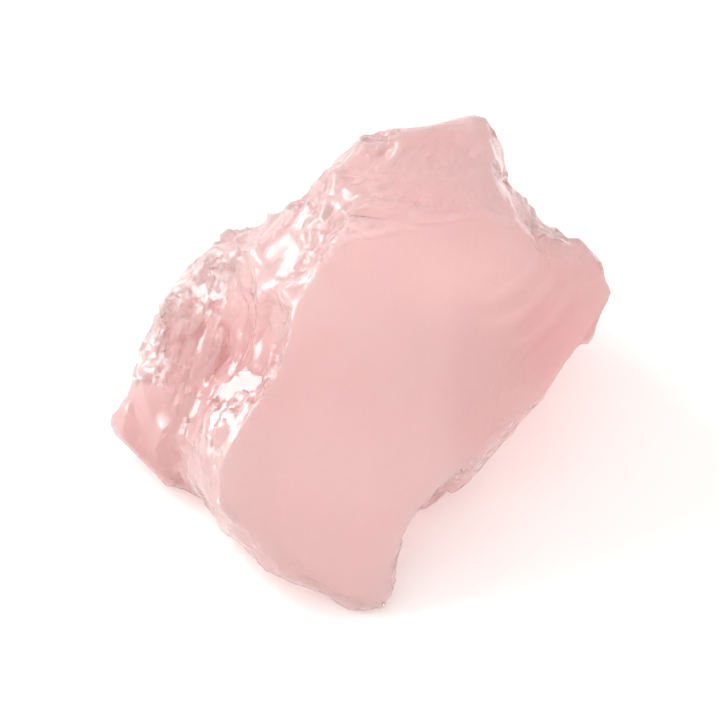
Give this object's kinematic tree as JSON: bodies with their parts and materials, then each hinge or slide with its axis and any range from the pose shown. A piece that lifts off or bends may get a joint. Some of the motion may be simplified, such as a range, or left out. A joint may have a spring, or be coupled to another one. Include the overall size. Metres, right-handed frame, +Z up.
{
  "type": "rose quartz chunk",
  "caption": "Raw, broken chunk of translucent pink quartz: a broad domed fracture face, a hackly hollowed end with a low ledge, and a flat foot that it rests on.",
  "frame": {"origin": "under the middle of the stone's box, on the flat that it rests on", "axes": "+X along the stone's longest side, from the hackly end with the hollow to the plain wing; the broad fracture face looks towards -Y and up; +Z up"},
  "size_m": [0.0524, 0.045, 0.0294],
  "materials": {
    "rose_quartz": "milky translucent pink quartz with a glassy broken surface"
  },
  "bodies": {
    "root": {"rose_quartz_chunk": "rose_quartz"}
  },
  "joints": []
}
